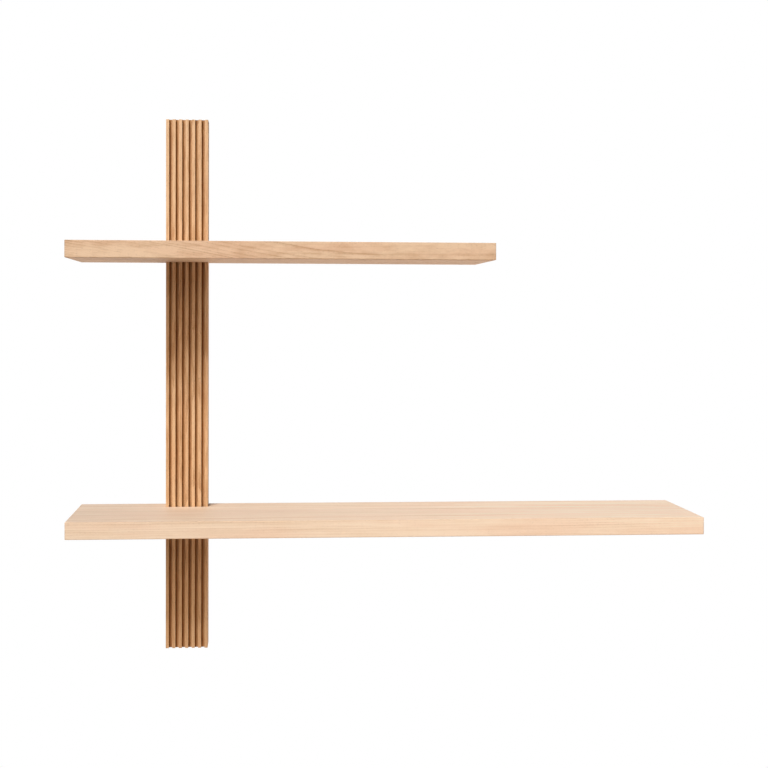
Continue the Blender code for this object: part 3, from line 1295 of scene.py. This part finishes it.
@dataclass
class RodBracket(Fixing):
    """A thick plate with two rods that pass through the upright and carry a board."""

    width: float = 0.046
    height: float = 0.080
    thickness: float = 0.004
    corner_radius: float = 0.006
    screw: WoodScrew = WoodScrew(head_radius=0.004, shank_radius=0.002, length=0.030, pitch=0.0017)
    screw_inset: float = 0.008
    rod_radius: float = 0.006
    rod_length: float = 0.150
    rod_spacing: float = 0.026
    rod_chamfer: float = 0.001
    facets: int = 48

    def __post_init__(self) -> None:
        """Place the four screws."""
        side, rise = self.width / 2 - self.screw_inset, self.height / 2 - self.screw_inset
        self.screw_places = tuple((f"{self.node}_screw_{end}_{hand}", across, up)
                                  for hand, across in (("left", -side), ("right", side))
                                  for end, up in (("top", rise), ("bottom", -rise)))

    def rods(self) -> list[tuple[str, Matrix]]:
        """Return the name and place of each rod."""
        return [(f"{self.node}_rod_{hand}", self.place(sign * self.rod_spacing / 2))
                for hand, sign in (("left", -1), ("right", 1))]

    def bores(self, use: str) -> list[bpy.types.Object]:
        """Return cutters that clear the rods.

        Args:
            use: What they are named for.

        Returns:
            The cutters.
        """
        radius, bottom = self.rod_radius + self.fit_gap, -self.rod_length - self.fit_gap
        profile = [(0.0, bottom), (radius, bottom), (radius, self.cut_overrun),
                   (0.0, self.cut_overrun)]
        return [add_object(f"{name}_{use}", turned_mesh(name, profile, self.facets), matrix)
                for name, matrix in self.rods()]

    def cutters(self) -> list[bpy.types.Object]:
        """Return what is milled and drilled out of the upright."""
        return [self.recess(), *self.bores("bore"), *self.screw_holes("hole")]

    def build(self, plate_finish: bpy.types.Material, rod_finish: bpy.types.Material,
              screw_finish: bpy.types.Material) -> None:
        """Add the plate, its rods and its screws.

        Args:
            plate_finish: The plate's material.
            rod_finish: The rods' material.
            screw_finish: The screws' material.
        """
        self.add_plate(self.bores("plate_bore"), f"{self.node}_plate", plate_finish)
        radius, length, chamfer = self.rod_radius, self.rod_length, self.rod_chamfer
        profile = [(0.0, -length), (radius - chamfer, -length), (radius, chamfer - length),
                   (radius, -chamfer), (radius - chamfer, 0.0), (0.0, 0.0)]
        for name, matrix in self.rods():
            rod = add_object(f"shown_{name}", turned_mesh(name, profile, self.facets), matrix)
            show_piece(rod, name, rod_finish)
        self.add_screws(screw_finish)


# Oak pieces

@dataclass
class Upright:
    """The oak post, seven square ribs milled along its front."""

    finish: Oak
    node: str = "ribbed_upright"
    rib_count: int = 7
    rib_width: float = 0.0049
    groove_width: float = 0.0050
    groove_depth: float = 0.006
    thickness: float = 0.040
    height: float = 0.8144
    arris: float = 0.0005
    groove_round: float = 0.0003
    end_ease: float = 0.0004
    facets: int = 3

    def width(self) -> float:
        """Return the width over all ribs."""
        return self.rib_count * self.rib_width + (self.rib_count - 1) * self.groove_width

    def corners(self) -> list[Corner]:
        """Return the corners of the plan, counterclockwise from the back.

        Returns:
            The corners.
        """
        half, front, bed = self.width() / 2, -self.thickness, self.groove_depth - self.thickness
        corners = [Corner(half, 0.0, self.arris), Corner(-half, 0.0, self.arris)]
        for rib in range(self.rib_count):
            left = rib * (self.rib_width + self.groove_width) - half
            right = left + self.rib_width
            if rib:
                corners.append(Corner(left, bed, self.groove_round))
            corners += [Corner(left, front, self.arris), Corner(right, front, self.arris)]
            if rib < self.rib_count - 1:
                corners.append(Corner(right, bed, self.groove_round))
        return corners

    def rib_shading(self) -> RibShading:
        """Return the painted shade and highlights of the ribs, which follow their sizes."""
        return RibShading(self.rib_width, self.groove_width, self.groove_depth, self.width() / 2,
                       -self.thickness)

    def build(self, cutters: Iterable[bpy.types.Object]) -> None:
        """Add the upright.

        Args:
            cutters: What is milled and drilled out of its back.
        """
        mesh = eased_prism(self.node, self.corners(), -self.height / 2, self.height / 2,
                           self.end_ease, self.facets)
        item = add_object(f"shown_{self.node}", mesh)
        carve(item, cutters)
        finish = self.finish.material(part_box(self.node), self.rib_shading())
        show_piece(item, self.node, finish)


@dataclass
class Board:
    """An oak board, notched at the back round the upright."""

    node: str
    finish: Oak
    length: float
    level: float
    upright_width: float = 0.0643
    upright_thickness: float = 0.040
    left_overhang: float = 0.133
    depth: float = 0.200
    thickness: float = 0.025
    fit_gap: float = 0.0003
    ease: float = 0.0008
    notch_round: float = 0.00015
    notch_ease_share: float = 0.25
    facets: int = 4

    def left(self) -> float:
        """Return where the board's left end is."""
        return -self.upright_width / 2 - self.left_overhang

    def corners(self) -> list[Corner]:
        """Return the corners of the plan, counterclockwise from the back right.

        Returns:
            The corners.
        """
        left, right, front = self.left(), self.left() + self.length, -self.depth
        notch = self.upright_width / 2 + self.fit_gap
        deep = -self.upright_thickness - self.fit_gap
        small, share = self.notch_round, self.notch_ease_share
        return [Corner(right, 0.0, self.ease), Corner(notch, 0.0, small, share),
                Corner(notch, deep, small, share), Corner(-notch, deep, small, share),
                Corner(-notch, 0.0, small), Corner(left, 0.0, self.ease),
                Corner(left, front, self.ease), Corner(right, front, self.ease)]

    def build(self, cutters: Iterable[bpy.types.Object]) -> None:
        """Add the board.

        Args:
            cutters: What is milled and drilled out of its back edge.
        """
        mesh = eased_prism(self.node, self.corners(), self.level - self.thickness / 2,
                           self.level + self.thickness / 2, self.ease, self.facets)
        item = add_object(f"shown_{self.node}", mesh)
        carve(item, cutters)
        show_piece(item, self.node, self.finish.material(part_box(self.node)))


@dataclass
class Shelf:
    """The whole shelf: upright, boards, brackets and hangers."""

    upright: Upright
    boards: tuple[Board, Board]
    plate_finish: Steel
    rod_finish: Steel
    screw_finish: Steel
    upright_hanger_inset: float = 0.0357
    board_hanger_inset: float = 0.060
    brackets: list[RodBracket] = field(init=False)
    upright_hangers: list[KeyholeHanger] = field(init=False)
    board_hangers: list[KeyholeHanger] = field(init=False)

    def __post_init__(self) -> None:
        """Place the fixings."""
        self.brackets = [RodBracket(board.node.replace("board", "bracket"), (0.0, board.level))
                         for board in self.boards]
        reach = self.upright.height / 2 - self.upright_hanger_inset
        self.upright_hangers = [KeyholeHanger("top_hanger", (0.0, reach)),
                                KeyholeHanger("bottom_hanger", (0.0, -reach))]
        self.board_hangers = []
        for board in self.boards:
            across = board.left() + board.length - self.board_hanger_inset
            hanger = KeyholeHanger(f"{board.node}_hanger", (across, board.level))
            self.board_hangers.append(hanger)

    def build(self) -> None:
        """Add every piece of the shelf, the oak first."""
        fixings = [*self.brackets, *self.upright_hangers]
        self.upright.build([cutter for fixing in fixings for cutter in fixing.cutters()])
        for board, bracket, hanger in zip(self.boards, self.brackets, self.board_hangers):
            board.build([*bracket.bores("board_bore"), *hanger.cutters()])
        finishes = (self.plate_finish, self.rod_finish, self.screw_finish)
        plate, rod, screw = (finish.material() for finish in finishes)
        for bracket in self.brackets:
            bracket.build(plate, rod, screw)
        for hanger in [*self.upright_hangers, *self.board_hangers]:
            hanger.build(plate, screw)


# Studio

@dataclass(frozen=True)
class PhotoCamera:
    """The camera at the photograph's viewing angle, its angles in radians."""

    place: Triple = (0.107345, -2.27914, 0.108667)
    yaw: float = 0.0806237
    pitch: float = -0.0194743
    roll: float = -0.00343519
    focal_pixels: float = 1445.06
    centre_pixels: Span = (373.703, 342.843)
    sensor: float = 36.0

    def build(self) -> None:
        """Add the camera."""
        data = bpy.data.cameras.new("photo_camera")
        data.sensor_width = self.sensor
        data.lens = self.focal_pixels * self.sensor / PHOTO_SIDE
        data.shift_x = (PHOTO_SIDE / 2 - self.centre_pixels[0]) / PHOTO_SIDE
        data.shift_y = (self.centre_pixels[1] - PHOTO_SIDE / 2) / PHOTO_SIDE
        ahead = Vector((math.sin(self.yaw) * math.cos(self.pitch),
                        math.cos(self.yaw) * math.cos(self.pitch), math.sin(self.pitch)))
        level = Vector((math.cos(self.yaw), -math.sin(self.yaw), 0.0))
        down = ahead.cross(level)
        right = level * math.cos(self.roll) + down * math.sin(self.roll)
        under = down * math.cos(self.roll) - level * math.sin(self.roll)
        turned = Matrix((right, -under, -ahead)).transposed().to_4x4()
        camera = add_object("photo_camera", data)
        camera.matrix_world = Matrix.Translation(self.place) @ turned
        bpy.context.scene.camera = camera


@dataclass(frozen=True)
class SoftLamp:
    """A rectangular soft box, placed by where its light comes from, in degrees and metres."""

    name: str
    turn: float
    rise: float
    distance: float
    width: float
    height: float
    level: float
    tint: Colour = WHITE
    mirrored: bool = True

    def build(self, aim: Vector) -> None:
        """Add the lamp, with the power that gives its level on a surface that faces it.

        Args:
            aim: The point that it lights.
        """
        data = bpy.data.lights.new(self.name, "AREA")
        data.shape = "RECTANGLE"
        data.size, data.size_y = self.width, self.height
        data.energy = self.level * (math.pi * self.distance) ** 2
        data.color = linear(self.tint)[:3]
        turn, rise = math.radians(self.turn), math.radians(self.rise)
        toward = Vector((math.sin(turn) * math.cos(rise), -math.cos(turn) * math.cos(rise),
                         math.sin(rise)))
        lamp = add_object(self.name, data)
        lamp.rotation_euler = toward.to_track_quat("Z", "Y").to_euler()
        lamp.location = aim + toward * self.distance
        lamp.visible_camera = False
        lamp.visible_glossy = self.mirrored


@dataclass(frozen=True)
class Studio:
    """A pale floor, a white backdrop, two soft lamps in front and to the left, and one behind."""

    aim: Triple = (0.1, -0.05, 0.0)
    # The floor: its size, how it fades as it is seen and as it throws light back, and its finish
    floor_level: float = -1.4
    floor_radius: float = 4.5
    floor_fade: float = 3.0
    seen_radius: float = 2.4
    seen_fade: float = 1.8
    floor_facets: int = 96
    floor_colour: Colour = (202, 184, 167)
    floor_lift: Triple = (0.41, 0.49, 0.57)
    floor_roughness: float = 0.8
    floor_gloss: float = 0.1
    grit_waves: float = 40.0
    grit_layers: float = 3.0
    grit_share: float = 0.1
    # The light all round, and the lamps
    ambient: float = 0.08
    lamps: tuple[SoftLamp, ...] = (
        SoftLamp("key_lamp", turn=-19, rise=46.5, distance=8.0, width=2.9, height=2.4, level=0.82),
        SoftLamp("front_lamp", turn=-22, rise=24, distance=8.0, width=4.0, height=3.6, level=0.34,
                 tint=(255, 235, 213)),
        SoftLamp("low_back_lamp", turn=158, rise=-26, distance=6.0, width=5.0, height=4.0,
                 level=0.58, tint=(255, 240, 226), mirrored=False))

    def build(self) -> None:
        """Add the floor, the backdrop and the lamps."""
        self.add_floor()
        self.add_backdrop()
        for lamp in self.lamps:
            lamp.build(Vector(self.aim))
        bpy.context.scene.view_settings.view_transform = "Standard"

    def add_floor(self) -> None:
        """Add a round pale floor."""
        shape = bmesh.new()
        bmesh.ops.create_circle(shape, cap_ends=True, segments=self.floor_facets,
                                radius=self.floor_radius)
        mesh = bpy.data.meshes.new("studio_floor")
        shape.to_mesh(mesh)
        shape.free()
        floor = add_object("studio_floor", mesh)
        floor.location = (*self.aim[:2], self.floor_level)
        mesh.materials.append(self.floor_material())
        floor.visible_shadow = False

    def floor_material(self) -> bpy.types.Material:
        """Build a pale finish that fades out at the rim and that hides nothing from below.

        Returns:
            The material.
        """
        material, graph = new_material("studio_floor")
        x, y, _ = graph.split(graph.place())
        distance = (x * x + y * y).root()
        grit = graph.noise(graph.join(x * self.grit_waves, y * self.grit_waves, 0.0),
                           self.grit_layers)
        seen = self.seen(graph)
        edge = distance.fade(self.floor_fade, self.floor_radius)
        upper_side = 1 - graph.signal("ShaderNodeNewGeometry", output="Backfacing")
        near = distance.fade(self.seen_fade, self.seen_radius) * upper_side
        graph.surface({"Base Color": linear(self.floor_colour),
                       "Roughness": self.floor_roughness + grit * self.grit_share,
                       "Specular IOR Level": self.floor_gloss,
                       "Alpha": edge + (near - edge) * seen,
                       "Emission Color": graph.join(*(seen * part for part in self.floor_lift)),
                       "Emission Strength": 1.0})
        return material

    @staticmethod
    def seen(graph: ShaderGraph) -> Signal:
        """Tell what is seen from the light that falls on the shelf.

        Args:
            graph: The graph of a floor or backdrop.

        Returns:
            1 for what is seen directly, in gloss or through glass, and 0 for other light.
        """
        rays = graph.node("ShaderNodeLightPath").outputs
        straight, gloss, through = (Signal(graph, rays[f"Is {kind} Ray"])
                                    for kind in ("Camera", "Glossy", "Transmission"))
        return straight.larger(gloss).larger(through)

    def add_backdrop(self) -> None:
        """Make the surroundings white to the eye and in gloss, and soft on the shelf."""
        world = bpy.data.worlds.new("studio_backdrop")
        world.use_nodes = True
        bpy.context.scene.world = world
        graph = ShaderGraph(world.node_tree)
        strength = self.ambient + self.seen(graph) * (1 - self.ambient)
        light = graph.signal("ShaderNodeBackground", None,
                             {"Color": linear(WHITE), "Strength": strength})
        graph.node("ShaderNodeOutputWorld", None, {"Surface": light})


# The shelf in its finishes

def make_shelf() -> Shelf:
    """Return the shelf with the finishes of its pieces.

    Returns:
        The shelf.
    """
    upright_oak = Oak("upright_oak", Grain.ALONG_Z, late_wood=(229, 193, 153),
                      early_wood=(186, 137, 90), blush=(250, 236, 224), heart=(0.015, 0.060),
                      lean=(0.006, 0.030), ring_width=0.0034, wander=0.0030, streak=1.3, fibre=1.0,
                      mottle=2.1, mottle_waves=Waves(32.0, 320.0, 2.0, 0.6, shift=4.7), seed=5.1,
                      arris_shade=0.1, foot_tint=(255, 249, 241))
    # Painted light: the upper board gets a little paler towards its right end
    upper_oak = Oak("upper_board_oak", Grain.ALONG_X, late_wood=(228, 199, 169),
                    early_wood=(186, 147, 109), blush=(250, 236, 232), heart=(-0.150, 0.30),
                    lean=(0.0, 0.0), ring_width=0.0030, wander=0.0040, swing=(-0.35, 0.30, -0.085),
                    figure=0.70, streak=1.0, fibre=0.7, mottle=1.3, painted_light_along=0.08,
                    stave_width=0.0705, stave_start=-0.2105, seed=4.1)
    # Painted light: the lower board gets paler towards its right end, most on its top; painted
    # shade on its arrises
    lower_oak = Oak("lower_board_oak", Grain.ALONG_X, late_wood=(243, 222, 199),
                    early_wood=(212, 178, 142), blush=(252, 240, 238), heart=(-0.12, 0.15),
                    lean=(0.0, 0.006), ring_width=0.0034, wander=0.0022, figure=0.42, streak=0.7,
                    fibre=0.95, mottle=0.25, pore_tone=0.14, ray_tone=0.03, painted_light_along=0.22,
                    top_light=(-0.02, 0.11), arris_shade=0.5, arris_top=0.6, stave_width=0.075,
                    stave_start=-0.225, stave_shades=(0.7, 0.35, 1.0), stave_spread=0.09, seed=5.9)
    boards = (Board("upper_board", upper_oak, length=0.6185, level=0.201),
              Board("lower_board", lower_oak, length=0.930, level=-0.201))
    zinc = Steel("zinc_plate", bright=(206, 209, 213), dull=(158, 162, 168),
                 stain=(186, 190, 186), marks=(900.0, 40.0, 60.0), roughness=0.34,
                 crystal_size=0.007)
    drawn = Steel("rod_steel", bright=(200, 201, 203), dull=(150, 150, 152),
                  stain=(170, 164, 156), marks=(1200.0, 25.0, 1200.0), roughness=0.26)
    passivated = Steel("screw_steel", bright=(226, 196, 120), dull=(190, 158, 84),
                       stain=(188, 190, 140), marks=(700.0, 700.0, 700.0), roughness=0.30,
                       stain_strength=0.6)
    return Shelf(Upright(upright_oak), boards, zinc, drawn, passivated)


def main() -> None:
    """Build the shelf and the studio round it."""
    logging.basicConfig(level=logging.INFO, format="%(name)s %(message)s")
    make_shelf().build()
    PhotoCamera().build()
    Studio().build()


if __name__ == "__main__":
    main()
